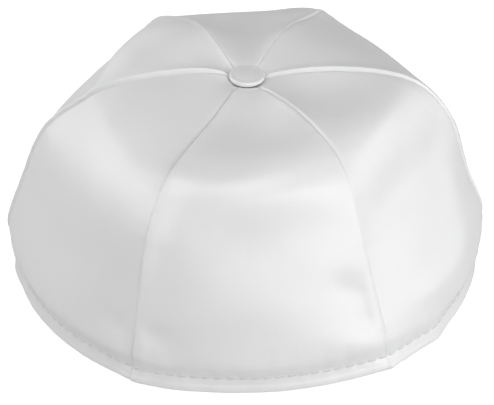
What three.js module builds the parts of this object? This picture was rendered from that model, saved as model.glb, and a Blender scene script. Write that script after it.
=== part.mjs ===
// A six-panel satin skullcap: six gores sewn edge to edge and closed at the crown by a covered button.
// Millimetres, +Z up. The rim stands on z = 0, the front panel faces -Y and +X is on the right of it.
import * as THREE from "three";

// Driving dimensions
const RIM_RADIUS = 87;
const CROWN_HEIGHT = 75;
const WALL = 1.2;
const HEM_WALL = 2.0;
const HEM_HEIGHT = 5.2;
const SEAM_GAP = 0.3;
const CLEARANCE = 0.3;

// Covered button on its shank: its underside is a cone that follows the dip of the cloth at the crown
const BUTTON_RADIUS = 6.3;
const BUTTON_THICKNESS = 2.7;
const BUTTON_EDGE_RADIUS = 0.9;
const BUTTON_DOME = 0.25;
const UNDERSIDE_ANGLE = THREE.MathUtils.degToRad(28);
const BUTTON_SIDES = 36;
const SHANK_RADIUS = 2.6;
const SHANK_LENGTH = 2.4;

// Seam finish: a sunk seam line, and the allowance pressed to one side of it as a low rib.
// The seams hold the cloth, so folds die away beside them. All relief fades out under the button.
const GROOVE_DEPTH = 0.45;
const GROOVE_REACH = 1.1;
const RIB_CENTRE = 2.6;
const RIB_REACH = 2;
const SEAM_HOLD = 5;
const FADE_START = 6;
const FADE_END = 16;

// Mesh columns across a panel, closer together towards its seams
const COLUMNS = 14;

// Stations down the average seam, from the crown to the rim. Radius and height are shares of the
// driving dimensions, outward is the angle above the horizon in which the cloth swells there, and
// rows is the number of mesh rows down to the next station.
const TIP_RADIUS = SHANK_RADIUS + CLEARANCE;
const TIP_HEIGHT = 0.922;
const STATIONS = [
  { name: "tip", radius: TIP_RADIUS / RIM_RADIUS, height: TIP_HEIGHT, outward: 90, rows: 2 },
  { name: "seat", radius: 0.098, height: 0.96, outward: 90, rows: 4 },
  { name: "arch", radius: 0.32, height: 1.0, outward: 90, rows: 4 },
  { name: "brow", radius: 0.575, height: 0.94, outward: 75, rows: 3 },
  { name: "shoulder", radius: 0.69, height: 0.873, outward: 50, rows: 3 },
  { name: "haunch", radius: 0.815, height: 0.707, outward: 30, rows: 4 },
  { name: "waist", radius: 0.915, height: 0.4, outward: 15, rows: 3 },
  { name: "belly", radius: 0.985, height: 0.147, outward: 5, rows: 2 },
  { name: "stitch", radius: 0.985, height: HEM_HEIGHT / CROWN_HEIGHT, outward: 0, rows: 2 },
  { name: "rim", radius: 1.0, height: 0, outward: 0, rows: 0 },
];

// Seams, anticlockwise from the front panel's right as seen from above: how far each stands out from
// the average seam at a station, in millimetres, and how many degrees it is turned from its even place
const SEAMS = [
  {
    turn: 1.2, arch: -0.3, brow: 0.3, shoulder: -2, haunch: -5,
    waist: -4, belly: -1.5, stitch: 0.6, rim: 0.5,
  },
  {
    turn: 0, arch: -1, brow: 1, shoulder: 1.5, haunch: 1,
    waist: 0, belly: 1, stitch: -0.5, rim: -1.5,
  },
  {
    turn: -1, arch: 0.8, brow: -0.6, shoulder: 1.4, haunch: 1.4,
    waist: 0, belly: 0, stitch: 0.2, rim: 0,
  },
  {
    turn: 0.5, arch: 3.8, brow: 1.2, shoulder: 0.5, haunch: 0.5,
    waist: 0, belly: 0, stitch: 0.2, rim: 0,
  },
  {
    turn: 0, arch: -0.5, brow: -1.6, shoulder: -2.4, haunch: 0.2,
    waist: 1.2, belly: 1.2, stitch: -0.3, rim: -1.2,
  },
  {
    turn: 0, arch: -5, brow: -2.3, shoulder: 0, haunch: 1.5,
    waist: 0.5, belly: -0.5, stitch: 0.6, rim: 0.5,
  },
];

// Panels in the same order from the front: how far the middle of each stands out from the average
// seam, and the rise of the allowance pressed under its left and right edges as seen from outside
const PANELS = [
  {
    name: "front",
    middle: {
      arch: -6.5, brow: 0.3, shoulder: 0.8, haunch: -4.3,
      waist: -2, belly: -2, stitch: -2.1, rim: -2.2,
    },
    leftRib: 0.8,
    rightRib: 0,
  },
  {
    name: "front_right",
    middle: {
      arch: -3, brow: 1, shoulder: -4, haunch: -10,
      waist: -2.5, belly: -0.9, stitch: -0.6, rim: -1.4,
    },
    leftRib: 0.25,
    rightRib: 0,
  },
  {
    name: "back_right",
    middle: {
      arch: -0.5, brow: -2.5, shoulder: -4, haunch: -2,
      waist: -2, belly: -1.6, stitch: -1.9, rim: -2.5,
    },
    leftRib: 0.6,
    rightRib: 0,
  },
  {
    name: "back",
    middle: {
      arch: -3, brow: -3.5, shoulder: -2.5, haunch: -3,
      waist: -3, belly: -1.6, stitch: -1.9, rim: -2.5,
    },
    leftRib: 0.6,
    rightRib: 0,
  },
  {
    name: "back_left",
    middle: {
      arch: 2, brow: -0.2, shoulder: -6, haunch: -5,
      waist: -1.5, belly: -1.6, stitch: -1.9, rim: -2.5,
    },
    leftRib: 0.4,
    rightRib: 0.8,
  },
  {
    name: "front_left",
    middle: {
      arch: -2, brow: -1.7, shoulder: -3.2, haunch: -4,
      waist: -2.8, belly: -0.6, stitch: -0.2, rim: -0.8,
    },
    leftRib: 0,
    rightRib: 0,
  },
];

// Dents and puffs. Across runs from -1 at a panel's left seam to 1 at its right, and down is measured
// along the cloth from the crown. A fold reaches far along a line turned anticlockwise from level and
// less far beside it, and rises outward or, below zero, sinks.
const FOLDS = [
  { panel: "front", across: 0.82, down: 101, turn: -45, along: 8, beside: 5, rise: -1.1 },
  { panel: "front", across: 0.64, down: 90, turn: -30, along: 12, beside: 9, rise: 0.4 },
  { panel: "front", across: 0.88, down: 112, turn: -40, along: 6, beside: 4, rise: -0.8 },
  { panel: "front", across: 0.76, down: 119, turn: -10, along: 8, beside: 5, rise: 0.8 },
  { panel: "front", across: 0.34, down: 114, turn: 6, along: 18, beside: 8, rise: 0.4 },
  { panel: "front", across: -0.35, down: 103, turn: 8, along: 24, beside: 12, rise: 0.9 },
  { panel: "front", across: -0.84, down: 113, turn: 0, along: 7, beside: 4, rise: -1.2 },
  { panel: "front", across: -0.6, down: 57, turn: 11, along: 11, beside: 8, rise: -0.5 },
  { panel: "front", across: 0.58, down: 35, turn: 0, along: 13, beside: 13, rise: 0.4 },
  { panel: "front", across: 0.36, down: 69, turn: -28, along: 14, beside: 9, rise: -0.3 },
  { panel: "front", across: -0.88, down: 122, turn: 0, along: 6, beside: 5, rise: 0.9 },
  { panel: "front", across: -0.74, down: 131, turn: 0, along: 12, beside: 9, rise: 1 },
  { panel: "front_right", across: -0.4, down: 113, turn: 0, along: 10, beside: 6, rise: 1.1 },
  { panel: "front_right", across: 0.02, down: 111, turn: 5, along: 17, beside: 6, rise: 1.2 },
  { panel: "front_right", across: 0.45, down: 96, turn: 60, along: 14, beside: 7, rise: 0.5 },
  { panel: "front_right", across: -0.19, down: 95, turn: 0, along: 12, beside: 8, rise: -0.6 },
  { panel: "front_right", across: -0.48, down: 130, turn: 0, along: 6, beside: 7, rise: 1.4 },
  { panel: "back_right", across: -0.73, down: 92, turn: 90, along: 17, beside: 10, rise: 2.1 },
  { panel: "back", across: -0.75, down: 48, turn: 90, along: 12, beside: 9, rise: 2.1 },
  { panel: "back", across: 0.4, down: 45, turn: 0, along: 16, beside: 12, rise: -1.4 },
  { panel: "back_left", across: -0.39, down: 32, turn: 60, along: 12, beside: 9, rise: 0.8 },
  { panel: "back_left", across: 0.47, down: 40, turn: -5, along: 15, beside: 9, rise: 0.8 },
  { panel: "front_left", across: 0.84, down: 113, turn: 0, along: 7, beside: 4, rise: -1 },
  { panel: "front_left", across: 0.88, down: 122, turn: 0, along: 6, beside: 5, rise: 1 },
  { panel: "front_left", across: -0.1, down: 66, turn: -5, along: 26, beside: 11, rise: 0.3 },
  { panel: "front_left", across: 0.59, down: 69, turn: 9, along: 14, beside: 9, rise: 0.4 },
  { panel: "front_left", across: -0.7, down: 130, turn: 0, along: 6, beside: 7, rise: 1 },
];

const satin = new THREE.MeshStandardMaterial({ color: 0xeeeeef, roughness: 0.4, metalness: 0 });
const buttonSatin = new THREE.MeshStandardMaterial({ color: 0xf1f1f2, roughness: 0.38, metalness: 0 });

const PANEL_ANGLE = (2 * Math.PI) / PANELS.length;
const LAST = STATIONS.length - 1;

// Horizontal unit vector at an azimuth counted from -Y towards +X
function heading(azimuth) {
  return new THREE.Vector3(Math.sin(azimuth), -Math.cos(azimuth), 0);
}

// Curve from the crown to the rim at an azimuth, standing out from the average seam by a table's row
function meridian(azimuth, standOut) {
  const outward = heading(azimuth);
  const points = STATIONS.map((station) => {
    const angle = THREE.MathUtils.degToRad(station.outward);
    const amount = standOut[station.name] ?? 0;
    const point = outward.clone().multiplyScalar(station.radius * RIM_RADIUS + amount * Math.cos(angle));
    return point.setZ(station.height * CROWN_HEIGHT + amount * Math.sin(angle));
  });
  return new THREE.CatmullRomCurve3(points, false, "centripetal");
}

const seamAzimuths = SEAMS.map((seam, index) => {
  const even = (index + 0.5) * PANEL_ANGLE;
  return even + THREE.MathUtils.degToRad(seam.turn);
});
const seamCurves = SEAMS.map((seam, index) => meridian(seamAzimuths[index], seam));

// Mesh rows as positions among the stations, and the mean length of seam from the crown to each
const rows = STATIONS.flatMap((station, index) =>
  Array.from({ length: station.rows }, (unused, step) => index + step / station.rows),
).concat(LAST);

const downs = rows.map((unused, index) => {
  const lengths = seamCurves.map((curve) => {
    const points = rows.slice(0, index + 1).map((row) => curve.getPoint(row / LAST));
    return points.slice(1).reduce((sum, point, step) => sum + point.distanceTo(points[step]), 0);
  });
  return lengths.reduce((sum, length) => sum + length, 0) / lengths.length;
});

function bell(distance, reach) {
  return Math.exp(-((distance / reach) ** 2));
}

// Relief of a panel's own folds at a point
function foldRise(panel, across, down, halfWidth) {
  let rise = 0;
  for (const fold of FOLDS.filter((entry) => entry.panel === panel.name)) {
    const turn = THREE.MathUtils.degToRad(fold.turn);
    const sideways = (across - fold.across) * halfWidth;
    const upward = fold.down - down;
    const along = sideways * Math.cos(turn) + upward * Math.sin(turn);
    const beside = upward * Math.cos(turn) - sideways * Math.sin(turn);
    rise += fold.rise * bell(along, fold.along) * bell(beside, fold.beside);
  }
  const fromSeam = (1 - Math.abs(across)) * halfWidth;
  return rise * THREE.MathUtils.smoothstep(fromSeam, 0, SEAM_HOLD);
}

// Relief of the seams at a panel's two edges
function seamRise(panel, across, halfWidth) {
  const fromLeft = (across + 1) * halfWidth;
  const fromRight = (1 - across) * halfWidth;
  const ribs = panel.leftRib * bell(fromLeft - RIB_CENTRE, RIB_REACH)
    + panel.rightRib * bell(fromRight - RIB_CENTRE, RIB_REACH);
  return ribs - GROOVE_DEPTH * (bell(fromLeft, GROOVE_REACH) + bell(fromRight, GROOVE_REACH));
}

// Smooth surface of a panel: a parabola across, through its two seams and its middle
function panelSurface(index) {
  const leftSeam = (index + SEAMS.length - 1) % SEAMS.length;
  const left = seamCurves[leftSeam];
  const right = seamCurves[index];
  const middle = meridian(index * PANEL_ANGLE, PANELS[index].middle);
  const point = (across, row) => {
    const share = row / LAST;
    return new THREE.Vector3()
      .addScaledVector(left.getPoint(share), (across * (across - 1)) / 2)
      .addScaledVector(middle.getPoint(share), 1 - across * across)
      .addScaledVector(right.getPoint(share), (across * (across + 1)) / 2);
  };
  // Level direction square to the seam planes at the edges and to the panel's middle between them
  const sideways = (across) => {
    const seam = across < 0 ? seamAzimuths[leftSeam] : seamAzimuths[index];
    const offset = Math.atan2(Math.sin(seam - index * PANEL_ANGLE), Math.cos(seam - index * PANEL_ANGLE));
    return heading(index * PANEL_ANGLE + Math.abs(across) * offset + Math.PI / 2);
  };
  return { point, sideways };
}

// Outward normal of a smooth surface, drawn into the seam's plane near an edge and level at the rim
function outwardNormal(surface, across, row, halfWidth) {
  const step = 0.02;
  const above = surface.point(across, Math.max(row - step, 0));
  const below = surface.point(across, Math.min(row + step, LAST));
  const before = surface.point(across - step, row);
  const after = surface.point(across + step, row);
  const normal = below.sub(above).cross(after.sub(before)).normalize();
  const square = surface.sideways(across);
  const pull = bell((1 - Math.abs(across)) * halfWidth, SEAM_HOLD);
  normal.addScaledVector(square, -pull * normal.dot(square));
  if (row === LAST) {
    normal.setZ(0);
  }
  return normal.normalize();
}

// One gore as a closed wall, its outer and inner grids joined round their four edges
function panelGeometry(index) {
  const panel = PANELS[index];
  const surface = panelSurface(index);
  const outer = [];
  const inner = [];
  rows.forEach((row, rowIndex) => {
    const down = downs[rowIndex];
    const halfWidth = surface.point(-1, row).distanceTo(surface.point(1, row)) / 2;
    const fade = THREE.MathUtils.smoothstep(down, FADE_START, FADE_END);
    const wall = row < LAST - 1 ? WALL : HEM_WALL;
    for (let column = 0; column <= COLUMNS; column += 1) {
      const across = Math.sin(Math.PI * (column / COLUMNS - 0.5));
      const normal = outwardNormal(surface, across, row, halfWidth);
      const point = surface.point(across, row);
      point.addScaledVector(surface.sideways(across), (-across * SEAM_GAP) / 2);
      point.addScaledVector(normal, fade * foldRise(panel, across, down, halfWidth));
      outer.push(point.clone().addScaledVector(normal, fade * seamRise(panel, across, halfWidth)));
      inner.push(point.clone().addScaledVector(normal, -wall));
    }
  });
  return closedWall(outer, inner, rows.length, COLUMNS + 1);
}

function closedWall(outer, inner, rowCount, columnCount) {
  const faces = [];
  const quad = (a, b, c, d) => faces.push(a, b, c, a, c, d);
  const out = (row, column) => row * columnCount + column;
  const back = (row, column) => outer.length + out(row, column);
  const lastRow = rowCount - 1;
  const lastColumn = columnCount - 1;
  for (let row = 0; row < lastRow; row += 1) {
    for (let column = 0; column < lastColumn; column += 1) {
      quad(out(row, column), out(row + 1, column), out(row + 1, column + 1), out(row, column + 1));
      quad(back(row, column), back(row, column + 1), back(row + 1, column + 1), back(row + 1, column));
    }
    quad(out(row, 0), back(row, 0), back(row + 1, 0), out(row + 1, 0));
    quad(out(row, lastColumn), out(row + 1, lastColumn), back(row + 1, lastColumn), back(row, lastColumn));
  }
  for (let column = 0; column < lastColumn; column += 1) {
    quad(out(0, column), out(0, column + 1), back(0, column + 1), back(0, column));
    quad(out(lastRow, column), back(lastRow, column), back(lastRow, column + 1), out(lastRow, column + 1));
  }
  const geometry = new THREE.BufferGeometry().setFromPoints(outer.concat(inner));
  geometry.setIndex(faces);
  geometry.computeVertexNormals();
  return geometry;
}

// Covered button turned about the axis: shank, conical underside, rolled edge and low dome
function buttonGeometry() {
  const back = TIP_HEIGHT * CROWN_HEIGHT + CLEARANCE;
  const edge = BUTTON_RADIUS - BUTTON_EDGE_RADIUS;
  const middle = back + BUTTON_THICKNESS;
  const brim = middle + BUTTON_EDGE_RADIUS;
  const underturn = UNDERSIDE_ANGLE - Math.PI / 2;
  const outerRadius = edge + BUTTON_EDGE_RADIUS * Math.cos(underturn);
  const outerHeight = middle + BUTTON_EDGE_RADIUS * Math.sin(underturn);
  const neckHeight = outerHeight - (outerRadius - SHANK_RADIUS) * Math.tan(UNDERSIDE_ANGLE);
  const profile = new THREE.Path();
  profile.moveTo(0, back - SHANK_LENGTH);
  profile.lineTo(SHANK_RADIUS, back - SHANK_LENGTH);
  profile.lineTo(SHANK_RADIUS, neckHeight);
  profile.lineTo(outerRadius, outerHeight);
  profile.absarc(edge, middle, BUTTON_EDGE_RADIUS, underturn, Math.PI / 2, false);
  profile.quadraticCurveTo(edge / 2, brim + BUTTON_DOME, 0, brim + BUTTON_DOME);
  const lathe = new THREE.LatheGeometry(profile.getPoints(4), BUTTON_SIDES);
  return lathe.rotateX(Math.PI / 2);
}

const cap = new THREE.Group();
PANELS.forEach((panel, index) => {
  const gore = new THREE.Mesh(panelGeometry(index), satin);
  gore.name = `panel_${panel.name}`;
  cap.add(gore);
});
const button = new THREE.Mesh(buttonGeometry(), buttonSatin);
button.name = "crown_button";
cap.add(button);

export default cap;
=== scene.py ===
"""A white satin skullcap on its rim: six gores, pressed seams, a stitched hem and a covered button."""
import math

import bpy
import numpy as np
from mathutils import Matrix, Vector


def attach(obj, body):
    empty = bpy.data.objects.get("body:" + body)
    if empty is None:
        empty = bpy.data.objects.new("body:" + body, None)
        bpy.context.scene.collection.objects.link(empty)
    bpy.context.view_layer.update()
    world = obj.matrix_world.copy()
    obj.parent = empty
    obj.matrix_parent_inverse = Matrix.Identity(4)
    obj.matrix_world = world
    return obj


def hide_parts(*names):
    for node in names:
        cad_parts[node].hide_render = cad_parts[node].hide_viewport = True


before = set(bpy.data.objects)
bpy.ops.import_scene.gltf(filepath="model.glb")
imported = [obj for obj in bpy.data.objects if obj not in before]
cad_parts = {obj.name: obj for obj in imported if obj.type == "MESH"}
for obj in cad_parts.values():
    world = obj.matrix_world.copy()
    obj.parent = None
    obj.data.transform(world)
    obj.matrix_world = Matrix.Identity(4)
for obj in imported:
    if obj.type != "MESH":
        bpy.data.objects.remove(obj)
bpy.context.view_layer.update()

# Driving dimensions of the cap, in millimetres, the same as the solids'. The tip and the seat of the
# button are given as shares of the crown's height.
MM = 0.001
RIM_RADIUS = 87.0
CROWN_HEIGHT = 75.0
WALL = 1.2
HEM_WALL = 2.0
HEM_HEIGHT = 5.2
TIP_RADIUS = 2.9
TIP_HEIGHT = 0.922
SEAT_HEIGHT = 0.96

# Stations down the average seam: shares of the rim radius and of the crown height, and the angle
# above the horizon in which the cloth swells there
STATIONS = [
    {"name": "tip", "radius": TIP_RADIUS / RIM_RADIUS, "height": TIP_HEIGHT, "outward": 90},
    {"name": "seat", "radius": 0.098, "height": SEAT_HEIGHT, "outward": 90},
    {"name": "arch", "radius": 0.32, "height": 1.0, "outward": 90},
    {"name": "brow", "radius": 0.575, "height": 0.94, "outward": 75},
    {"name": "shoulder", "radius": 0.69, "height": 0.873, "outward": 50},
    {"name": "haunch", "radius": 0.815, "height": 0.707, "outward": 30},
    {"name": "waist", "radius": 0.915, "height": 0.4, "outward": 15},
    {"name": "belly", "radius": 0.985, "height": 0.147, "outward": 5},
    {"name": "stitch", "radius": 0.985, "height": HEM_HEIGHT / CROWN_HEIGHT, "outward": 0},
    {"name": "rim", "radius": 1.0, "height": 0.0, "outward": 0},
]
STITCH_STATION = [station["name"] for station in STATIONS].index("stitch")
LAST = len(STATIONS) - 1

# Seams anticlockwise from the front panel's right, seen from above: degrees turned from the even
# place, how far each stands out from the average seam at a station, and how deep its line is sunk
# by the crown and by the hem
SEAM_COLUMNS = ("turn", "seat", "arch", "brow", "shoulder", "haunch", "waist", "belly", "stitch", "rim",
                "line", "low_line")
SEAM_ROWS = [
    (1.2, 0.0, -0.3, 0.3, -2.0, -5.0, -4.0, -1.5, 0.6, 0.5, 0.45, -0.2),
    (0.0, 0.0, -1.0, 1.0, 1.5, 1.0, 0.0, 1.0, -0.5, -1.5, 0.7, 0.3),
    (-1.0, 0.0, 0.8, -0.6, 1.4, 1.4, 0.0, 0.0, 0.2, 0.0, 0.2, 0.2),
    (0.5, 0.0, 3.8, 1.2, 0.5, 0.5, 0.0, 0.0, 0.2, 0.0, 0.2, 0.2),
    (0.0, 2.0, -1.2, -1.6, -2.4, 0.2, 1.2, 1.2, -0.3, -1.2, 0.9, 0.7),
    (0.0, 0.0, -5.0, -2.3, 0.0, 1.5, 0.5, -0.5, 0.6, 0.5, 0.4, 0.0),
]
SEAMS = [dict(zip(SEAM_COLUMNS, row)) for row in SEAM_ROWS]

# Panels in the same order from the front: how far the middle of each stands out, and the rise and
# width of the allowance pressed under its left and right edges as seen from outside
PANEL_COLUMNS = ("name", "arch", "brow", "shoulder", "haunch", "waist", "belly", "stitch", "rim",
                 "left_rib", "left_width", "right_rib", "right_width")
PANEL_ROWS = [
    ("front", -6.5, 0.3, 0.8, -4.3, -2.0, -2.0, -2.1, -2.2, 0.8, 8.0, 0.0, 4.0),
    ("front_right", -3.0, 1.0, -4.0, -10.0, -2.5, -0.9, -0.6, -1.4, 0.25, 4.0, 0.0, 4.0),
    ("back_right", -0.5, -2.5, -4.0, -2.0, -2.0, -1.6, -1.9, -2.5, 0.8, 6.0, 0.0, 4.0),
    ("back", -3.0, -3.5, -2.5, -3.0, -3.0, -1.6, -1.9, -2.5, 0.6, 5.0, 0.0, 4.0),
    ("back_left", 2.0, -0.2, -6.0, -5.0, -1.5, -1.6, -1.9, -2.5, 0.4, 4.0, 1.0, 7.0),
    ("front_left", -2.0, -1.7, -3.2, -4.0, -2.8, -0.6, -0.2, -0.8, 0.0, 4.0, 0.0, 4.0),
]
PANELS = [dict(zip(PANEL_COLUMNS, row)) for row in PANEL_ROWS]
PANEL_ANGLE = 2 * math.pi / len(PANELS)

# Dents and puffs: across from -1 at the left seam to 1 at the right, down along the cloth from the
# crown, the turn of the fold's line from level, its reach along and beside that line, and its rise
FOLD_COLUMNS = ("panel", "across", "down", "turn", "along", "beside", "rise")
FOLD_ROWS = [
    ("front", 0.82, 101, -45, 8, 5, -1.1),
    ("front", 0.64, 90, -30, 12, 9, 0.4),
    ("front", 0.88, 112, -40, 6, 4, -0.8),
    ("front", 0.76, 119, -10, 8, 5, 0.8),
    ("front", 0.34, 114, 6, 18, 8, 0.4),
    ("front", -0.35, 103, 8, 24, 12, 0.9),
    ("front", -0.84, 113, 0, 7, 4, -1.2),
    ("front", -0.60, 57, 11, 11, 8, -0.5),
    ("front", 0.58, 35, 0, 13, 13, 0.4),
    ("front", 0.36, 69, -28, 14, 9, -0.3),
    ("front", -0.88, 122, 0, 6, 5, 0.9),
    ("front", -0.74, 131, 0, 12, 9, 1.0),
    ("front_right", -0.40, 113, 0, 10, 6, 1.1),
    ("front_right", 0.02, 111, 5, 17, 6, 1.2),
    ("front_right", 0.45, 96, 60, 14, 7, 0.5),
    ("front_right", -0.19, 95, 0, 12, 8, -0.6),
    ("front_right", -0.48, 130, 0, 6, 7, 1.4),
    ("back_right", -0.73, 92, 90, 17, 10, 2.1),
    ("back", -0.75, 48, 90, 12, 9, 2.1),
    ("back", 0.40, 45, 0, 16, 12, -1.4),
    ("back_left", -0.39, 32, 60, 12, 9, 0.8),
    ("back_left", 0.47, 40, -5, 15, 9, 0.8),
    ("front_left", 0.84, 113, 0, 7, 4, -1.0),
    ("front_left", 0.88, 122, 0, 6, 5, 1.0),
    ("front_left", -0.10, 66, -5, 26, 11, 0.3),
    ("front_left", 0.59, 69, 9, 14, 9, 0.4),
    ("front_left", -0.70, 130, 0, 6, 7, 1.0),
    # Slight folds that the solids leave out
    ("front", -0.30, 119, -8, 20, 5, 0.6),
    ("front", -0.79, 76, 74, 18, 5, -0.5),
    ("front_right", 0.0, 81, 37, 24, 10, 1.3),
    ("front_right", 0.0, 104, 0, 24, 9, -0.7),
    ("front_left", 0.30, 36, -30, 14, 9, 0.3),
]
FOLDS = [dict(zip(FOLD_COLUMNS, row)) for row in FOLD_ROWS]

# Seam finish: a sunk line where two panels meet, open by a share of its depth, a wider dip along it,
# the allowance as a rib that steps up beside it, and small puckers. The line's depth changes from the
# crown's to the hem's over its span. The dip, the rib and the puckers narrow towards the button.
SEAM_CLEARANCE = 0.005
LINE_GAP = 0.11
LINE_REACH = 0.5
LINE_SPAN = (48.0, 66.0)
DIP_DEPTH = 0.09
DIP_REACH = 1.6
RIB_STEP = 0.9
RIB_REACH = 0.7
CROWN_WIDTH = 0.4
CROWN_SPAN = 55.0
SEAM_PUCKER = {"rise": 0.10, "reach": 6.0, "wavelengths": (5.3, 7.9, 11.7)}

# Distances from the tip over which the seams and the folds begin, and from a seam over which it
# holds the folds flat
SEAM_FADE = (3.0, 7.0)
FOLD_FADE = (6.0, 16.0)
SEAM_HOLD = 5.0

# Seam allowances, which thicken the wall on its inside
ALLOWANCE_WIDTH = 6.0
ALLOWANCE_WALL = 0.6
ALLOWANCE_STEP = 0.8

# Hem: the stitches draw the cloth in, the cloth above them puckers, and the edge below them ripples
# and is thick where a seam is turned in with it
HEM_TURN = 10.0
HEM_TUCK = {"depth": 1.6, "above": 3.7, "below": 6.0}
HEM_PUCKER = {"rise": 0.22, "start": 3.0, "centre": 4.0, "reach": 7.0, "wavelengths": (6.5, 9.5, 14.0, 23.0)}
HEM_RIPPLE = {"rise": 0.12, "start": 2.5, "wavelengths": (8.0, 17.0, 31.0)}
SEAM_LUMP = {"rise": 0.6, "reach": 4.0}

# Stitches: their pull on the cloth, with a share that comes and goes with each stitch, and the
# threads, which rise from below the cloth and dip into it again
STITCH_LENGTH = 4.1
STITCH_GAP = 0.55
STITCH_WANDER = 0.08
STITCH_PULL = 0.25
STITCH_REACH = 1.0
STITCH_TUFT = 0.35
STITCH_ARCH = 0.34
STITCH_SUNK = 0.24
THREAD_RADIUS = 0.25
THREAD_FLATNESS = 0.8
THREAD_END = 0.15

# Powers that make a stitch's arch and the ends of its thread square
ARCH_POWER = 4
END_POWER = 6

# Soft waves all over each panel, as (wavelength, rise), which fade out above the hem
SOFT_WAVES = ((47, 0.10), (33, 0.08), (24, 0.05), (15, 0.03))
WAVE_FADE = 14.0

# Seeds of the irregular forms. Panels and seams count on from the first two.
WAVE_SEED = 40
SEAM_SEED = 70
PUCKER_SEED = 90
RIPPLE_SEED = 91
STITCH_SEED = 5

# Covered button: its underside is a cone that follows the dip of the cloth, and its top is a low dome
# with a faint ring
BUTTON_RADIUS = 6.3
BUTTON_EDGE_RADIUS = 0.9
BUTTON_THICKNESS = 2.7
BUTTON_DOME = 0.25
BUTTON_RING = {"depth": 0.12, "centre": 0.8, "reach": 0.12}
BUTTON_GATHERS = {"rise": 0.06, "count": 22, "sway": 3, "start": 0.5, "end": 2.0}
BUTTON_WARP = {"rise": 0.05, "count": 2, "phase": 0.6}
BUTTON_CLEARANCE = 0.3
UNDERSIDE_ANGLE = 28.0
UNDERSIDE_SLOPE = math.tan(math.radians(UNDERSIDE_ANGLE))
COVER_WALL = 0.3
COVER_MARGIN = 0.4
BUTTON_BACK = TIP_HEIGHT * CROWN_HEIGHT + BUTTON_CLEARANCE
BUTTON_MIDDLE = BUTTON_BACK + BUTTON_THICKNESS

# How steeply the cloth may rise beside the button
RISE_BESIDE_BUTTON = 3.0

# Shank wound with thread between two plain ends, down to a blunt point
SHANK_RADIUS = 2.4
SHANK_LENGTH = 2.3
SHANK_PLAIN = {"top": 0.1, "in_all": 0.3}
SHANK_TAPER = 0.7
SHANK_POINT = 0.05
WIND_TURNS = 7
WIND_RISE = 0.16

# Mesh density, with the small steps over which slopes are measured
COLUMNS = 128
ROWS_PER_STATION = (10, 18, 22, 14, 20, 26, 22, 12, 12)
ROLL_STEPS = 8
ROLL_CLEARANCE = 0.2
EDGE_CROWDING = 0.75
NORMAL_STEP = 0.02
STITCH_SAMPLES = 160
STITCH_PROBE = 0.05
THREAD_STEPS = 9
THREAD_SIDES = 8
DOME_RINGS = np.linspace(0.1, 1, 14)[:-1]
EDGE_RINGS = 16
UNDERSIDE_RINGS = 6
COVER_SIDES = 132
WIND_STEPS = 4
SHANK_SIDES = 40

# Finishes: the dark and the light tone of each, the range of its roughness, the shares of its weaves,
# the height in metres and the strength of its bumps, and what is the same all over it
WHITE = (1.0, 1.0, 1.0, 1.0)
TONE_SPAN = (0.3, 0.7)
SATIN = {"tones": ((0.84, 0.84, 0.845), (0.88, 0.88, 0.885)), "roughness": (0.42, 0.54)}
BUTTON_SATIN = {"tones": ((0.86, 0.86, 0.865), (0.91, 0.91, 0.915)), "roughness": (0.32, 0.44)}
SATIN_TONE = {"slubs": 0.2, "patches": 0.8}
SATIN_HEIGHT = {"floats": 0.25, "slubs": 0.2, "crinkle": 1.0}
SATIN_BUMP = {"distance": 0.00007, "strength": 0.8}
SATIN_SHADER = {"IOR": 2.4, "Anisotropic": 0.5, "Sheen Weight": 0.1, "Sheen Roughness": 0.4}
BACK = {"tones": ((0.78, 0.78, 0.78), (0.86, 0.86, 0.855)), "roughness": (0.7, 0.9)}
BACK_BUMP = {"distance": 0.0001, "strength": 0.5}
# The thread's grey tones, darker than the white satin, are painted shade for the dark line along the stitch
# row
THREAD_WITH_PAINTED_SHADE = {"tones": ((0.64, 0.64, 0.64), (0.78, 0.78, 0.78)), "roughness": (0.4, 0.6)}
THREAD_TONE_SPAN = (0.35, 0.65)
THREAD_BUMP = {"distance": 0.0001, "strength": 0.4}
DULL_SHADER = {"Sheen Weight": 0.2}
FLOOR_TONES = ((0.59, 0.59, 0.59), (0.61, 0.61, 0.61))
FLOOR_SHADER = {"Roughness": 0.9, "Emission Color": WHITE}

# Irregular patterns of the finishes: repeats a metre, in cloth across the warp and along it, and how
# many finer layers each has
WEAVES = {
    "floats": {"across": 4200.0, "along": 420.0, "detail": 1.0},
    "slubs": {"across": 900.0, "along": 45.0, "detail": 2.0},
    "crinkle": {"across": 230.0, "along": 150.0, "detail": 2.0},
    "patches": {"across": 28.0, "along": 28.0, "detail": 3.0},
    "weft": {"across": 500.0, "along": 3600.0, "detail": 1.0},
    "back_patches": {"across": 40.0, "along": 40.0, "detail": 3.0},
}
THREAD_PLY = {"scale": 2600.0, "detail": 1.0}
FLOOR_HAZE = {"scale": 3.0, "detail": 2.0}

# Floor, in metres: its half width and its place just under the rim, the light that it adds for the
# cap, and as it is seen
FLOOR_SIZE = 3.0
FLOOR_DROP = 0.0002
FLOOR_GLOW = 0.08
FLOOR_WHITE = 0.8

# Even light of the room, and soft boxes round the cap, all of one size and at one distance in metres:
# azimuth from the front towards the right and elevation in degrees, and power in watts
WORLD_STRENGTH = 0.15
LIGHT_DISTANCE = 0.9
LIGHT_SIZE = 0.6
LIGHT_ROWS = [
    ("key", 50, 15, 2.7),
    ("right", 100, 15, 1.45),
    ("left", -100, 28, 2.6),
    ("front", 0, 28, 1.45),
    ("front_high", 0, 70, 2.5),
    ("top", 0, 90, 0.1),
    ("back_left", -145, 15, 1.0),
]

# Camera of the reference view: it looks at the cap from in front and above, a little from the left
CAMERA_DISTANCE = 688.0
CAMERA_ELEVATION = 35.19
CAMERA_PITCH = 36.31
CAMERA_AZIMUTH = -3.02
AIM_HEIGHT = 34.4
FOCAL_PIXELS = 1915.1
PICTURE_WIDTH = 494
SENSOR_WIDTH = 36.0


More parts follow.
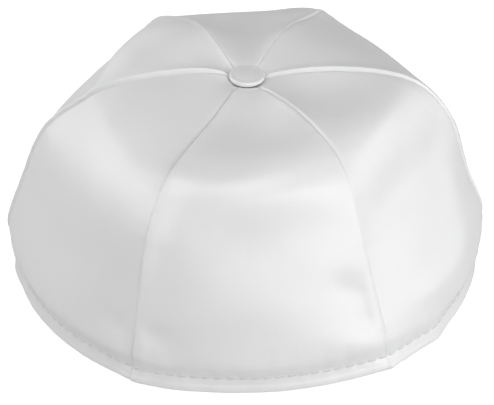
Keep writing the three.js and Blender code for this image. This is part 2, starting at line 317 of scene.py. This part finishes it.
def heading(azimuth):
    """Level unit vector at an azimuth counted from -Y towards +X."""
    return np.array([math.sin(azimuth), -math.cos(azimuth), 0.0])


def bell(distance, reach):
    """Bell curve of height 1 that fades out beyond its reach."""
    return np.exp(-((distance / reach) ** 2))


def smoothstep(x, low, high):
    """Smooth change from 0 at low to 1 at high."""
    share = np.clip((x - low) / (high - low), 0.0, 1.0)
    return share * share * (3 - 2 * share)


def ripples(x, wavelengths, seed):
    """Irregular ripple along x, within -1 to 1: sines of random phase."""
    rng = np.random.default_rng(seed)
    return sum(np.sin(2 * np.pi * (x / length + rng.random())) for length in wavelengths) / len(wavelengths)


def soft_waves(x, y, seed):
    """Slow swells in every direction over a panel."""
    rng = np.random.default_rng(seed)
    total = np.zeros_like(x)
    for length, rise in SOFT_WAVES:
        angle = rng.uniform(0, np.pi)
        along = (x * np.cos(angle) + y * np.sin(angle)) / length
        total += rise * np.sin(2 * np.pi * (along + rng.random()))
    return total


# Panel surfaces

def meridian(azimuth, stand_out):
    """Centripetal spline from crown to rim, as a function of positions among the stations."""
    points = []
    for station in STATIONS:
        angle = math.radians(station["outward"])
        amount = stand_out.get(station["name"], 0.0)
        point = heading(azimuth) * (station["radius"] * RIM_RADIUS + amount * math.cos(angle))
        point[2] = station["height"] * CROWN_HEIGHT + amount * math.sin(angle)
        points.append(point)
    points = np.array([2 * points[0] - points[1], *points, 2 * points[-1] - points[-2]])
    spans = np.sqrt(np.linalg.norm(np.diff(points, axis=0), axis=1))[:, None]

    def at(row):
        row = np.asarray(row, float)
        start = np.clip(row.astype(int), 0, LAST - 1)
        w = (row - start)[:, None]
        p0, p1, p2, p3 = (points[start + k] for k in range(4))
        d0, d1, d2 = (spans[start + k] for k in range(3))
        t1 = d1 * ((p1 - p0) / d0 - (p2 - p0) / (d0 + d1) + (p2 - p1) / d1)
        t2 = d1 * ((p2 - p1) / d1 - (p3 - p1) / (d1 + d2) + (p3 - p2) / d2)
        return p1 + t1 * w + (3 * (p2 - p1) - 2 * t1 - t2) * w**2 + (2 * (p1 - p2) + t1 + t2) * w**3

    return at


SEAM_AZIMUTHS = [(k + 0.5) * PANEL_ANGLE + math.radians(seam["turn"]) for k, seam in enumerate(SEAMS)]
SEAM_CURVES = [meridian(azimuth, seam) for azimuth, seam in zip(SEAM_AZIMUTHS, SEAMS)]


def station_rows():
    """Mesh rows as positions among the stations, and the mean length of seam above each."""
    rows = [k + step / count for k, count in enumerate(ROWS_PER_STATION) for step in range(count)]
    rows = np.array(rows + [LAST])
    lengths = [np.linalg.norm(np.diff(curve(rows), axis=0), axis=1) for curve in SEAM_CURVES]
    return rows, np.concatenate([[0.0], np.cumsum(np.mean(lengths, axis=0))])


def crowded_columns():
    """Places across a panel from -1 to 1, closer together near its seams."""
    even = np.linspace(-1, 1, COLUMNS + 1)
    return (1 - EDGE_CROWDING) * even + EDGE_CROWDING * np.sin(np.pi / 2 * even)


ROWS, DOWNS = station_rows()
STITCH_DOWN = float(np.interp(STITCH_STATION, ROWS, DOWNS))
HEM_TOP = STITCH_DOWN - HEM_TURN + HEM_HEIGHT
ACROSS = crowded_columns()


def line_depth(seam, down):
    """Depth of a seam's sunk line at a distance down from the crown."""
    low = smoothstep(down, *LINE_SPAN)
    return SEAMS[seam]["line"] * (1 - low) + SEAMS[seam]["low_line"] * low


def under_button(points):
    """How far the button presses cloth down that would stand in its way."""
    radius = np.hypot(points[..., 0], points[..., 1])
    outward = np.minimum(radius, BUTTON_RADIUS) - SHANK_RADIUS
    room = BUTTON_BACK - BUTTON_CLEARANCE / 2 + outward * UNDERSIDE_SLOPE
    room = room + np.maximum(radius - BUTTON_RADIUS - BUTTON_CLEARANCE, 0) * RISE_BESIDE_BUTTON
    return np.maximum(points[..., 2] - room, 0)


class Panel:
    """One gore: its smooth surface, and its relief on a grid of rows and columns."""

    def __init__(self, index):
        self.index = index
        self.facts = PANELS[index]
        self.azimuth = index * PANEL_ANGLE
        self.left_seam = (index - 1) % len(SEAMS)
        self.right_seam = index
        self.curves = (SEAM_CURVES[self.left_seam], meridian(self.azimuth, self.facts), SEAM_CURVES[index])
        # Seam planes as angles from the panel's middle
        self.edges = [self.turn_to(SEAM_AZIMUTHS[self.left_seam]), self.turn_to(SEAM_AZIMUTHS[index])]

    def turn_to(self, azimuth):
        return math.remainder(azimuth - self.azimuth, 2 * math.pi)

    def surface(self, across, rows):
        """Points of the smooth surface, a parabola across through the seams and the middle."""
        left, middle, right = (curve(rows)[:, None, :] for curve in self.curves)
        a = np.asarray(across)[None, :, None]
        return left * a * (a - 1) / 2 + middle * (1 - a * a) + right * a * (a + 1) / 2

    def sideways(self, across):
        """Level directions square to the seam planes at the edges and to the middle between them."""
        angles = self.azimuth + np.where(across < 0, -across * self.edges[0], across * self.edges[1])
        angles = angles + math.pi / 2
        return np.stack([np.sin(angles), -np.cos(angles), np.zeros_like(angles)], axis=-1)[None, :, :]

    def normals(self, across, rows, to_seam):
        """Outward normals, turned into the seam's plane near it and level at the rim."""
        above = self.surface(across, np.maximum(rows - NORMAL_STEP, 0))
        below = self.surface(across, np.minimum(rows + NORMAL_STEP, LAST))
        side = self.surface(across + NORMAL_STEP, rows) - self.surface(across - NORMAL_STEP, rows)
        normal = np.cross(below - above, side)
        normal /= np.linalg.norm(normal, axis=-1, keepdims=True)
        square = self.sideways(across)
        pull = bell(to_seam, ALLOWANCE_WIDTH)[..., None]
        normal -= pull * np.sum(normal * square, axis=-1, keepdims=True) * square
        level = smoothstep(rows, STITCH_STATION, LAST)[:, None]
        normal[..., 2] *= 1 - level
        return normal / np.linalg.norm(normal, axis=-1, keepdims=True)

    def gap(self, a, down):
        """Half of the open seam beside the panel's left and right halves."""
        depths = [line_depth(seam, down) for seam in (self.left_seam, self.right_seam)]
        return SEAM_CLEARANCE + LINE_GAP * np.maximum(np.where(a < 0, *depths), 0)

    def swell(self, a, down, half, to_seam):
        """Rise of the folds and soft waves less the tuck of the hem, which both faces follow."""
        rise = np.zeros_like(to_seam)
        for fold in FOLDS:
            if fold["panel"] == self.facts["name"]:
                turn = math.radians(fold["turn"])
                x = (a - fold["across"]) * half
                y = fold["down"] - down
                along = x * math.cos(turn) + y * math.sin(turn)
                beside = y * math.cos(turn) - x * math.sin(turn)
                rise += fold["rise"] * bell(along, fold["along"]) * bell(beside, fold["beside"])
        above_hem = smoothstep(STITCH_DOWN - down, 0, WAVE_FADE)
        rise += above_hem * soft_waves(a * half, down, WAVE_SEED + self.index)
        held = smoothstep(to_seam, 0, SEAM_HOLD)
        reach = np.where(down < STITCH_DOWN, HEM_TUCK["above"], HEM_TUCK["below"])
        tuck = HEM_TUCK["depth"] * bell(STITCH_DOWN - down, reach)
        return rise * held * smoothstep(down, *FOLD_FADE) - tuck

    def relief(self, a, down, half):
        """Rise of the seams and of the hem, which show on the outer face alone."""
        from_left = (a + 1) * half
        from_right = (1 - a) * half
        rise = self.seam_relief(from_left, down, "left", self.left_seam)
        rise += self.seam_relief(from_right, down, "right", self.right_seam)
        rise *= smoothstep(down, *SEAM_FADE)
        return rise + self.hem_relief(a * half, from_left, from_right, down)

    def seam_relief(self, distance, down, side, seam):
        """Sunk line of a seam and the rib of its allowance, which narrows towards the button."""
        narrow = CROWN_WIDTH + (1 - CROWN_WIDTH) * smoothstep(down, 0, CROWN_SPAN)
        width = self.facts[side + "_width"] * narrow
        rib = self.facts[side + "_rib"] * np.sqrt(narrow)
        pucker = SEAM_PUCKER["rise"] * ripples(down, SEAM_PUCKER["wavelengths"], SEAM_SEED + seam)
        return (
            rib * smoothstep(distance, 0, RIB_STEP) * bell(distance, RIB_REACH * width)
            - line_depth(seam, down) * bell(distance, LINE_REACH)
            - DIP_DEPTH * narrow * bell(distance, DIP_REACH * narrow)
            + pucker * bell(distance, SEAM_PUCKER["reach"] * narrow)
        )

    def hem_relief(self, sideways, from_left, from_right, down):
        """Puckers above the stitches, ripples and lumps below them, and the groove that they pull."""
        below = down - STITCH_DOWN
        above = np.maximum(-below, 0)
        round_rim = sideways + self.index * RIM_RADIUS * PANEL_ANGLE
        pucker = HEM_PUCKER["rise"] * ripples(round_rim, HEM_PUCKER["wavelengths"], PUCKER_SEED)
        pucker = pucker * bell(above - HEM_PUCKER["centre"], HEM_PUCKER["reach"])
        pucker = pucker * (below < 0) * smoothstep(above, 0, HEM_PUCKER["start"])
        ripple = HEM_RIPPLE["rise"] * ripples(round_rim, HEM_RIPPLE["wavelengths"], RIPPLE_SEED)
        lump = bell(from_left, SEAM_LUMP["reach"]) + bell(from_right, SEAM_LUMP["reach"])
        tuft = 1 - STITCH_TUFT + STITCH_TUFT * np.cos(2 * np.pi * round_rim / STITCH_LENGTH)
        return (
            pucker
            + (ripple + SEAM_LUMP["rise"] * lump) * smoothstep(below, 0, HEM_RIPPLE["start"])
            - STITCH_PULL * tuft * bell(below, STITCH_REACH)
        )

    def grids(self, across=ACROSS, rows=ROWS, downs=DOWNS):
        """Outer and inner points in millimetres, with cloth coordinates for the weave."""
        base = self.surface(across, rows)
        half = np.linalg.norm(base[:, -1] - base[:, 0], axis=-1)[:, None] / 2
        a = across[None, :]
        down = downs[:, None]
        to_seam = (1 - np.abs(a)) * half
        normal = self.normals(across, rows, to_seam)
        base = base - self.sideways(across) * (a * self.gap(a, down))[..., None]
        base = base + normal * self.swell(a, down, half, to_seam)[..., None]
        outer = base + normal * self.relief(a, down, half)[..., None]
        wall = WALL + (HEM_WALL - WALL) * smoothstep(down, HEM_TOP, STITCH_DOWN)
        wall = wall + ALLOWANCE_WALL * smoothstep(ALLOWANCE_WIDTH - to_seam, 0, ALLOWANCE_STEP)
        inner = base - normal * wall[..., None]
        pressed = under_button(outer)
        outer[..., 2] -= pressed
        inner[..., 2] -= pressed
        outer[-1, :, 2] = inner[-1, :, 2] = 0.0
        cloth = np.stack(np.broadcast_arrays(a * half, down), axis=-1)
        return outer, inner, cloth


# Meshes

def mesh_object(name, points, faces, cloth=None, smooth_faces=None):
    """Object from points in millimetres, smooth in its first faces, with a UV map of the cloth."""
    mesh = bpy.data.meshes.new(name)
    mesh.from_pydata((points * MM).tolist(), [], faces)
    if cloth is not None:
        uv = mesh.uv_layers.new(name="Cloth")
        corners = np.empty(len(mesh.loops), dtype=np.int32)
        mesh.loops.foreach_get("vertex_index", corners)
        uv.data.foreach_set("uv", (cloth[corners] * MM).astype(np.float32).ravel())
    smooth = np.arange(len(mesh.polygons)) < (smooth_faces or len(mesh.polygons))
    mesh.polygons.foreach_set("use_smooth", smooth)
    mesh.update()
    obj = bpy.data.objects.new(name, mesh)
    bpy.context.scene.collection.objects.link(obj)
    return obj


def rolled_edge(outer, inner):
    """Rows that round the folded edge of the hem from its outer to its inner face."""
    middle = (outer[-1] + inner[-1]) / 2
    outward = (outer[-1] - inner[-1]) / 2
    radius = np.linalg.norm(outward, axis=-1, keepdims=True)
    upward = np.array([0.0, 0.0, 1.0]) * radius
    turns = np.linspace(0, np.pi, ROLL_STEPS + 1)
    return np.stack([middle + upward + outward * np.cos(t) - upward * np.sin(t) for t in turns])


def panel_rows(index):
    """The gore as one closed wall: down the outside, round the folded edge and up the inside.

    With its points come their cloth coordinates and the numbers of outer rows and of rolled rows.
    """
    outer, inner, cloth = Panel(index).grids()
    roll = rolled_edge(outer, inner)
    # The rolled edge takes the place of the rows that are lower than its radius
    lift = roll[0][:, 2]
    keep = outer[:, :, 2].min(axis=1) > lift.max() + ROLL_CLEARANCE
    outer, inner, kept_cloth = outer[keep], inner[keep], cloth[keep]
    rows = np.concatenate([outer, roll, inner[::-1]])
    edge = np.repeat(cloth[-1:], len(roll), axis=0)
    edge[..., 1] += np.linspace(0, np.pi * lift.mean(), len(roll))[:, None] - lift.mean()
    turned = kept_cloth[::-1].copy()
    turned[..., 1] = 2 * edge[-1, :, 1] - turned[..., 1]
    return rows, np.concatenate([kept_cloth, edge, turned]), len(outer), len(roll)


def panel_object(name, rows, cloth, outer_rows, roll_rows):
    """Mesh of a panel. The wall's faces come first, and then those that close its two sides."""
    count, width = rows.shape[:2]
    index = np.arange(count * width).reshape(count, width)
    ring = np.concatenate([index, index[:1]])
    quads = np.stack([ring[:-1, :-1], ring[1:, :-1], ring[1:, 1:], ring[:-1, 1:]], axis=-1)
    faces = quads.reshape(-1, 4).tolist()
    wall_faces = len(faces)
    for side, step in ((index[:, 0].tolist(), 1), (index[:, -1].tolist(), -1)):
        for k in range(outer_rows - 1):
            faces.append((side[k], side[-1 - k], side[-2 - k], side[k + 1])[::step])
        # One face closes the end of the rolled edge
        end = (side[outer_rows - 1], *side[outer_rows + roll_rows:outer_rows - 1:-1])
        faces.append(end[::step])
    return mesh_object(name, rows.reshape(-1, 3), faces, cloth.reshape(-1, 2), wall_faces)


def tube_rings(path, normal):
    """Rings of a thread round a short path, flattened a little against the cloth."""
    along = np.gradient(path, axis=0)
    along /= np.linalg.norm(along, axis=1, keepdims=True)
    across = np.cross(along, normal)
    across /= np.linalg.norm(across, axis=1, keepdims=True)
    up = np.cross(across, along)
    turn = np.linspace(0, 2 * np.pi, THREAD_SIDES, endpoint=False)[None, :, None]
    blunt = 1 - np.linspace(-1, 1, len(path)) ** END_POWER
    taper = np.sqrt(np.clip(blunt, THREAD_END, 1)) * THREAD_RADIUS
    ring = np.cos(turn) * across[:, None, :] + THREAD_FLATNESS * np.sin(turn) * up[:, None, :]
    return path[:, None, :] + taper[:, None, None] * ring


def stitch_line(inside):
    """Points round the hem on the cloth's inner or outer face at the stitches, and its normals there."""
    lines, normals = [], []
    across = np.linspace(-1, 1, STITCH_SAMPLES, endpoint=False)
    near = STITCH_STATION + np.array([-STITCH_PROBE, 0.0, STITCH_PROBE])
    for index in range(len(PANELS)):
        outer, inner = Panel(index).grids(across, near, np.interp(near, ROWS, DOWNS))[:2]
        face = inner if inside else outer
        normal = np.cross(face[2] - face[0], np.gradient(face[1], axis=0))
        normal /= np.linalg.norm(normal, axis=1, keepdims=True)
        lines.append(face[1])
        normals.append(-normal if inside else normal)
    return np.concatenate(lines + [lines[0][:1]]), np.concatenate(normals + [normals[0][:1]])


def stitch_row(name, inside):
    """The row of stitches round the hem as one mesh of small threads that dip into the cloth."""
    line, normal = stitch_line(inside)
    length = np.concatenate([[0.0], np.cumsum(np.linalg.norm(np.diff(line, axis=0), axis=1))])
    count = round(length[-1] / STITCH_LENGTH)
    pitch = length[-1] / count
    rng = np.random.default_rng(STITCH_SEED)
    rise = STITCH_ARCH * (1 - np.abs(np.linspace(-1, 1, THREAD_STEPS)) ** ARCH_POWER) - STITCH_SUNK
    points, faces = [], []
    for k in range(count):
        shift = rng.normal(0, STITCH_WANDER)
        ends = (k * pitch + STITCH_GAP / 2 + shift, (k + 1) * pitch - STITCH_GAP / 2 + shift)
        where = np.linspace(*ends, THREAD_STEPS) % length[-1]
        path = np.stack([np.interp(where, length, line[:, c]) for c in range(3)], axis=1)
        out = np.stack([np.interp(where, length, normal[:, c]) for c in range(3)], axis=1)
        points.append(tube_rings(path + out * rise[:, None], out).reshape(-1, 3))
        index = np.arange(THREAD_STEPS * THREAD_SIDES).reshape(THREAD_STEPS, THREAD_SIDES)
        index += k * THREAD_STEPS * THREAD_SIDES
        wrap = np.concatenate([index, index[:, :1]], axis=1)
        quads = np.stack([wrap[:-1, :-1], wrap[:-1, 1:], wrap[1:, 1:], wrap[1:, :-1]], axis=-1)
        faces += quads.reshape(-1, 4).tolist()
        faces += [index[0][::-1].tolist(), index[-1].tolist()]
    return mesh_object(name, np.concatenate(points), faces)


def lathe_object(name, profile, sides, shape):
    """Turned mesh about the cap's axis. The profile starts on the axis; shape works on each ring."""
    turn = np.linspace(0, 2 * np.pi, sides, endpoint=False)
    rings = [shape(radius, height, turn) for radius, height in profile[1:]]
    points = [np.array([[0.0, 0.0, profile[0][1]]])]
    points += [np.stack([r * np.cos(turn), r * np.sin(turn), z], axis=1) for r, z in rings]
    points = np.concatenate(points)
    faces = [(0, 1 + k, 1 + (k + 1) % sides) for k in range(sides)]
    for ring in range(len(rings) - 1):
        a, b = 1 + ring * sides, 1 + (ring + 1) * sides
        faces += [(a + k, b + k, b + (k + 1) % sides, a + (k + 1) % sides) for k in range(sides)]
    return mesh_object(name, points, faces, points[:, :2])


def button_cover():
    """Satin drawn over the button and gathered behind it."""
    edge = BUTTON_RADIUS - BUTTON_EDGE_RADIUS
    brim = BUTTON_MIDDLE + BUTTON_EDGE_RADIUS
    profile = [(0.0, brim + BUTTON_DOME)]
    for share in DOME_RINGS:
        ring = BUTTON_RING["depth"] * bell(share - BUTTON_RING["centre"], BUTTON_RING["reach"])
        profile.append((edge * share, brim + BUTTON_DOME * (1 - share**2) - ring))
    for angle in np.linspace(np.pi / 2, math.radians(UNDERSIDE_ANGLE - 90), EDGE_RINGS):
        outward = BUTTON_EDGE_RADIUS * np.cos(angle)
        upward = BUTTON_EDGE_RADIUS * np.sin(angle)
        profile.append((edge + outward, BUTTON_MIDDLE + upward))
    last_radius, last_height = profile[-1]
    for radius in np.linspace(last_radius, SHANK_RADIUS + COVER_MARGIN, UNDERSIDE_RINGS)[1:]:
        profile.append((radius, last_height - (last_radius - radius) * UNDERSIDE_SLOPE))

    def gathers(radius, height, turn):
        tightness = smoothstep(np.array(brim - height), BUTTON_GATHERS["start"], BUTTON_GATHERS["end"])
        sway = np.sin(BUTTON_GATHERS["sway"] * turn)
        fold = BUTTON_GATHERS["rise"] * tightness * np.sin(BUTTON_GATHERS["count"] * turn + sway)
        warp = BUTTON_WARP["rise"] * np.sin(BUTTON_WARP["count"] * turn + BUTTON_WARP["phase"])
        warp = warp * (radius / BUTTON_RADIUS) ** 2
        return radius + fold, np.full_like(turn, height) + warp * (height > BUTTON_MIDDLE)

    cover = lathe_object("button_cover", profile, COVER_SIDES, gathers)
    wall = cover.modifiers.new("cloth", "SOLIDIFY")
    wall.thickness = COVER_WALL * MM
    wall.offset = -1.0
    return cover


def button_shank():
    """Thread wound round the button's shank, from its back through the tips of the panels."""
    top = BUTTON_MIDDLE - BUTTON_EDGE_RADIUS
    end = BUTTON_BACK - SHANK_LENGTH
    profile = [(0.0, top), (SHANK_RADIUS, top), (SHANK_RADIUS, BUTTON_BACK)]
    steps = WIND_TURNS * WIND_STEPS
    for k in range(steps + 1):
        share = k / steps
        bulge = WIND_RISE * abs(math.sin(math.pi * WIND_TURNS * share))
        height = BUTTON_BACK - SHANK_PLAIN["top"] - (SHANK_LENGTH - SHANK_PLAIN["in_all"]) * share
        profile.append((SHANK_RADIUS - WIND_RISE + bulge, height))
    profile += [(SHANK_RADIUS * SHANK_TAPER, end), (SHANK_POINT, end - SHANK_POINT)]

    def round_ring(radius, height, turn):
        return np.full_like(turn, radius), np.full_like(turn, height)

    return lathe_object("button_shank", profile, SHANK_SIDES, round_ring)


# Materials

class Nodes:
    """Short helper for building a node tree."""

    def __init__(self, name):
        self.material = bpy.data.materials.new(name)
        self.material.use_nodes = True
        self.tree = self.material.node_tree
        self.tree.nodes.clear()
        self.shader = self.add("ShaderNodeBsdfPrincipled")
        output = self.add("ShaderNodeOutputMaterial")
        self.link(self.shader.outputs["BSDF"], output.inputs["Surface"])

    def add(self, kind, **settings):
        node = self.tree.nodes.new(kind)
        for key, value in settings.items():
            setattr(node, key, value)
        return node

    def link(self, source, target):
        self.tree.links.new(source, target)

    def drive(self, socket, source):
        """Links a value to one of the shader's sockets."""
        self.link(source, self.shader.inputs[socket])

    def fix(self, values):
        """Sets the shader's sockets that are the same all over."""
        for socket, value in values.items():
            self.shader.inputs[socket].default_value = value

    def scaled(self, value, share):
        node = self.add("ShaderNodeMath", operation="MULTIPLY")
        self.link(value, node.inputs[0])
        node.inputs[1].default_value = share
        return node.outputs[0]

    def mixed(self, values, shares):
        """Sum of named values, each times its share."""
        first, *others = (self.scaled(values[name], share) for name, share in shares.items())
        for other in others:
            node = self.add("ShaderNodeMath", operation="ADD")
            self.link(first, node.inputs[0])
            self.link(other, node.inputs[1])
            first = node.outputs[0]
        return first

    def noise(self, vector, scale, detail):
        node = self.add("ShaderNodeTexNoise")
        node.inputs["Scale"].default_value = scale
        node.inputs["Detail"].default_value = detail
        self.link(vector, node.inputs["Vector"])
        return node.outputs["Fac"]

    def weave(self, cloth, name):
        """Noise in cloth coordinates, stretched to the repeats of a weave."""
        weave = WEAVES[name]
        node = self.add("ShaderNodeMapping")
        node.inputs["Scale"].default_value = (weave["across"], weave["along"], 1.0)
        self.link(cloth, node.inputs["Vector"])
        return self.noise(node.outputs["Vector"], 1.0, weave["detail"])

    def tones(self, value, span, colours):
        """Base colour from dark to light as a value goes from one end of a span to the other."""
        node = self.add("ShaderNodeValToRGB")
        for element, place, colour in zip(node.color_ramp.elements, span, colours):
            element.position = place
            element.color = (*colour, 1.0)
        self.link(value, node.inputs["Fac"])
        self.drive("Base Color", node.outputs["Color"])

    def spread(self, value, low, high):
        """Smooth change from low to high as a value goes from 0 to 1."""
        node = self.add("ShaderNodeMapRange", interpolation_type="SMOOTHSTEP")
        node.inputs["To Min"].default_value = low
        node.inputs["To Max"].default_value = high
        self.link(value, node.inputs["Value"])
        return node.outputs["Result"]

    def bump(self, height, distance, strength):
        node = self.add("ShaderNodeBump")
        node.inputs["Distance"].default_value = distance
        node.inputs["Strength"].default_value = strength
        self.link(height, node.inputs["Height"])
        self.drive("Normal", node.outputs["Normal"])


def satin(name, finish):
    """Warp-faced satin: long floats from crown to rim, with a soft sheen and faint slubs."""
    nodes = Nodes(name)
    cloth = nodes.add("ShaderNodeUVMap", uv_map="Cloth").outputs["UV"]
    weaves = {weave: nodes.weave(cloth, weave) for weave in ("floats", "slubs", "patches", "crinkle")}
    nodes.tones(nodes.mixed(weaves, SATIN_TONE), TONE_SPAN, finish["tones"])
    nodes.drive("Roughness", nodes.spread(weaves["slubs"], *finish["roughness"]))
    nodes.bump(nodes.mixed(weaves, SATIN_HEIGHT), **SATIN_BUMP)
    tangent = nodes.add("ShaderNodeTangent", direction_type="UV_MAP", uv_map="Cloth")
    nodes.drive("Tangent", tangent.outputs["Tangent"])
    nodes.fix(SATIN_SHADER)
    return nodes.material


def satin_back(name):
    """The dull wrong side of the satin, with its weft showing as a fine plain weave."""
    nodes = Nodes(name)
    cloth = nodes.add("ShaderNodeUVMap", uv_map="Cloth").outputs["UV"]
    weft = nodes.weave(cloth, "weft")
    nodes.tones(nodes.weave(cloth, "back_patches"), TONE_SPAN, BACK["tones"])
    nodes.drive("Roughness", nodes.spread(weft, *BACK["roughness"]))
    nodes.bump(weft, **BACK_BUMP)
    nodes.fix(DULL_SHADER)
    return nodes.material


def thread(name):
    """Twisted sewing thread, toned grey as painted shade for the dark line along the stitches."""
    nodes = Nodes(name)
    place = nodes.add("ShaderNodeTexCoord").outputs["Object"]
    ply = nodes.noise(place, **THREAD_PLY)
    nodes.tones(ply, THREAD_TONE_SPAN, THREAD_WITH_PAINTED_SHADE["tones"])
    nodes.drive("Roughness", nodes.spread(ply, *THREAD_WITH_PAINTED_SHADE["roughness"]))
    nodes.bump(ply, **THREAD_BUMP)
    nodes.fix(DULL_SHADER)
    return nodes.material


def floor_finish(name):
    """White paper that looks burnt out, but gives the cap only part of that light."""
    nodes = Nodes(name)
    place = nodes.add("ShaderNodeTexCoord").outputs["Object"]
    nodes.tones(nodes.noise(place, **FLOOR_HAZE), TONE_SPAN, FLOOR_TONES)
    seen = nodes.add("ShaderNodeLightPath").outputs["Is Camera Ray"]
    nodes.drive("Emission Strength", nodes.spread(seen, FLOOR_GLOW, FLOOR_WHITE))
    nodes.fix(FLOOR_SHADER)
    return nodes.material


# Assembly

def dress():
    """Makes the pieces of the cap, hangs each on the root body, and hides the solids that they take the place
    of.
    """
    face = satin("satin", SATIN)
    back = satin_back("satin_back")
    for index, facts in enumerate(PANELS):
        rows, cloth, outer_rows, roll_rows = panel_rows(index)
        piece = panel_object(f"satin_{facts['name']}", rows, cloth, outer_rows, roll_rows)
        piece.data.materials.append(face)
        piece.data.materials.append(back)
        # Faces inside the cap above the turned hem show the wrong side
        count, width = rows.shape[0] - 1, rows.shape[1] - 1
        turned = int(np.sum(DOWNS[:outer_rows] > HEM_TOP))
        slots = np.zeros(len(piece.data.polygons), dtype=np.int32)
        slots[(outer_rows + roll_rows + turned - 1) * width:count * width] = 1
        piece.data.polygons.foreach_set("material_index", slots)
        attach(piece, "root")
        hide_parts(f"panel_{facts['name']}")

    cover = button_cover()
    cover.data.materials.append(satin("button_satin", BUTTON_SATIN))
    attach(cover, "root")
    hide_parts("crown_button")

    # Grey thread with painted shade, for the stitches inside and out and for the shank
    sewing = thread("thread")
    for piece in (stitch_row("hem_stitches", False), stitch_row("hem_stitches_inside", True), button_shank()):
        piece.data.materials.append(sewing)
        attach(piece, "root")


# Stage

def add_floor():
    mesh = bpy.data.meshes.new("floor")
    corners = [(x * FLOOR_SIZE, y * FLOOR_SIZE, 0) for x, y in ((-1, -1), (1, -1), (1, 1), (-1, 1))]
    mesh.from_pydata(corners, [], [(0, 1, 2, 3)])
    floor = bpy.data.objects.new("floor", mesh)
    floor.location.z = -FLOOR_DROP
    bpy.context.scene.collection.objects.link(floor)
    mesh.materials.append(floor_finish("floor"))


def add_light(name, azimuth, elevation, power):
    """Square soft box that faces the cap."""
    data = bpy.data.lights.new(name, "AREA")
    data.size = LIGHT_SIZE
    data.energy = power
    light = bpy.data.objects.new(name, data)
    aim = Vector((0, 0, AIM_HEIGHT * MM))
    flat = heading(math.radians(azimuth)) * math.cos(math.radians(elevation))
    light.location = aim + LIGHT_DISTANCE * Vector((flat[0], flat[1], math.sin(math.radians(elevation))))
    light.rotation_euler = (aim - light.location).to_track_quat("-Z", "Y").to_euler()
    bpy.context.scene.collection.objects.link(light)


def add_world():
    world = bpy.data.worlds.new("studio")
    world.use_nodes = True
    background = world.node_tree.nodes["Background"]
    background.inputs["Color"].default_value = WHITE
    background.inputs["Strength"].default_value = WORLD_STRENGTH
    bpy.context.scene.world = world


def add_camera():
    data = bpy.data.cameras.new("camera")
    data.sensor_width = SENSOR_WIDTH
    data.lens = FOCAL_PIXELS / PICTURE_WIDTH * SENSOR_WIDTH
    camera = bpy.data.objects.new("camera", data)
    elevation = math.radians(CAMERA_ELEVATION)
    place = heading(math.radians(CAMERA_AZIMUTH)) * CAMERA_DISTANCE * math.cos(elevation)
    height = AIM_HEIGHT + CAMERA_DISTANCE * math.sin(elevation)
    camera.location = (place[0] * MM, place[1] * MM, height * MM)
    camera.rotation_euler = (math.radians(90 - CAMERA_PITCH), 0.0, math.radians(CAMERA_AZIMUTH))
    bpy.context.scene.collection.objects.link(camera)
    bpy.context.scene.camera = camera


add_camera()
dress()
add_floor()
add_world()
for row in LIGHT_ROWS:
    add_light(*row)
bpy.context.scene.view_settings.view_transform = "Standard"
